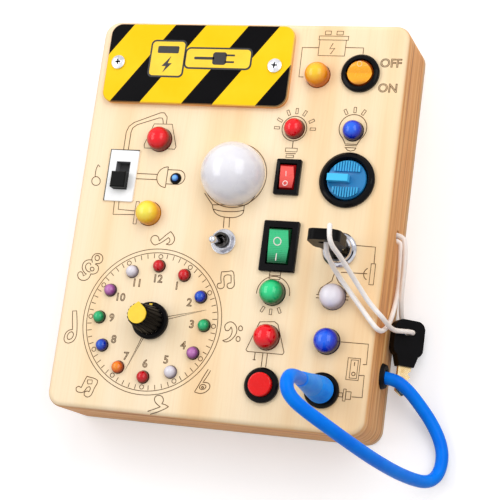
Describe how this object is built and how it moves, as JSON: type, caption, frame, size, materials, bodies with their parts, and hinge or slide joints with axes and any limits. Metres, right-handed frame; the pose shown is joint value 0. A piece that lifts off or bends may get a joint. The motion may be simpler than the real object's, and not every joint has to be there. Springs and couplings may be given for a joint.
{
  "type": "busy board",
  "caption": "Wooden sensory busy board with rocker, toggle, slide and turn switches, lamps, a clock dial with a knob, a key lock, a push button and a plug on a lead.",
  "frame": {"origin": "middle of the board's back, where it lies on the table", "axes": "+Z out of the play face, +Y up the board towards the battery cover, +X to the right of the board seen from the front"},
  "size_m": [0.1668, 0.1854, 0.0848],
  "materials": {
    "face_wood": "satin",
    "side_wood": "matte",
    "back_wood": "matte",
    "screw_steel": "satin",
    "cover_yellow": "satin",
    "tray_black": "matte",
    "cell_jacket": "satin",
    "contact_metal": "satin",
    "lamp_red": "gloss",
    "lamp_yellow": "gloss",
    "lamp_orange": "gloss",
    "lamp_green": "gloss",
    "lamp_white": "gloss",
    "lamp_blue": "gloss",
    "lamp_violet": "gloss",
    "milky_plastic": "satin",
    "circuit_green": "satin",
    "black_gloss": "gloss",
    "black_matte": "matte",
    "white_plastic": "satin",
    "yellow_plastic": "gloss",
    "red_plastic": "gloss",
    "green_plastic": "gloss",
    "orange_plastic": "gloss",
    "blue_plastic": "gloss",
    "bright_metal": "polished",
    "key_brass": "satin",
    "lace_white": "matte",
    "black_rubber": "matte",
    "blue_rubber": "satin"
  },
  "bodies": {
    "board": {"front_panel": "face_wood", "side_frame": "side_wood", "back_panel": "back_wood", "back_screws": "screw_steel", "battery_cover": "cover_yellow", "cover_screws": "screw_steel", "battery_tray": "tray_black", "battery_cells": "cell_jacket", "battery_contacts": "contact_metal", "lamp_red_large": "lamp_red", "lamp_yellow_large": "lamp_yellow", "lamp_orange_large": "lamp_orange", "lamp_green_large": "lamp_green", "lamp_blue_large": "lamp_blue", "lamp_white_large": "lamp_white", "lamp_red_medium": "lamp_red", "lamp_blue_medium": "lamp_blue", "lamp_bezel": "black_matte", "bulb_dome": "milky_plastic", "small_lamps_red": "lamp_red", "small_lamps_blue": "lamp_blue", "small_lamps_green": "lamp_green", "small_lamps_violet": "lamp_violet", "small_lamps_white": "lamp_white", "small_lamps_orange": "lamp_orange", "clock_board": "circuit_green", "rotary_body": "black_matte", "rotary_nut": "bright_metal", "slide_plate": "white_plastic", "slide_can": "contact_metal", "toggle_body": "bright_metal", "toggle_nut": "bright_metal", "red_rocker_frame": "black_gloss", "green_rocker_frame": "black_gloss", "round_rocker_frame": "black_gloss", "dial_frame": "black_gloss", "lock_barrel": "bright_metal", "lock_nut": "bright_metal", "spare_key_head": "black_matte", "spare_key_blade": "key_brass", "key_lanyard": "lace_white", "button_frame": "black_gloss", "jack_socket": "black_gloss", "plug_lead": "blue_rubber", "cable_grommet": "black_rubber"},
    "clock_knob": {"clock_knob": "black_matte", "knob_cap": "yellow_plastic", "rotary_shaft": "contact_metal"},
    "slide_lever": {"slide_lever": "black_matte"},
    "toggle_lever": {"toggle_lever": "bright_metal"},
    "red_rocker": {"red_rocker": "red_plastic"},
    "green_rocker": {"green_rocker": "green_plastic"},
    "round_rocker": {"round_rocker": "orange_plastic"},
    "blue_dial": {"blue_dial": "blue_plastic"},
    "key": {"key_head": "black_matte", "key_blade": "key_brass", "lock_core": "contact_metal"},
    "button_cap": {"button_cap": "red_plastic"},
    "plug": {"plug_pin": "bright_metal", "plug_boot": "blue_rubber"}
  },
  "joints": [
    {"name": "clock_knob_turn", "type": "hinge", "parent": "board", "child": "clock_knob", "pos_m": [-0.0264, -0.0459, 0.031], "axis": [0, 0, 1], "range_deg": [-330, 0]},
    {"name": "slide_switch_slide", "type": "slide", "parent": "board", "child": "slide_lever", "axis": [0, 1, 0], "range_m": [0, 0.005]},
    {"name": "toggle_flip", "type": "hinge", "parent": "board", "child": "toggle_lever", "pos_m": [0.0001, -0.0106, 0.0324], "axis": [-1, 0, 0], "range_deg": [0, 21]},
    {"name": "red_rocker_tip", "type": "hinge", "parent": "board", "child": "red_rocker", "pos_m": [0.0242, 0.0178, 0.03073], "axis": [-1, 0, 0], "range_deg": [0, 18]},
    {"name": "green_rocker_tip", "type": "hinge", "parent": "board", "child": "green_rocker", "pos_m": [0.0246, -0.0113, 0.03106], "axis": [-1, 0, 0], "range_deg": [0, 18]},
    {"name": "round_rocker_tip", "type": "hinge", "parent": "board", "child": "round_rocker", "pos_m": [0.0493, 0.0631, 0.03079], "axis": [-1, 0, 0], "range_deg": [0, 18]},
    {"name": "blue_dial_turn", "type": "hinge", "parent": "board", "child": "blue_dial", "pos_m": [0.0492, 0.0178, 0.031], "axis": [0, 0, 1], "range_deg": [-90, 0]},
    {"name": "key_turn", "type": "hinge", "parent": "board", "child": "key", "pos_m": [0.0496, -0.0111, 0.031], "axis": [0, 0, 1], "range_deg": [-90, 0], "deforming": ["key_lanyard"]},
    {"name": "button_press", "type": "slide", "parent": "board", "child": "button_cap", "axis": [0, 0, -1], "range_m": [0, 0.0018], "stiffness_N_per_m": 300},
    {"name": "plug_pull", "type": "slide", "parent": "board", "child": "plug", "axis": [0, 0, 1], "range_m": [0, 0.014], "deforming": ["plug_lead"]}
  ]
}
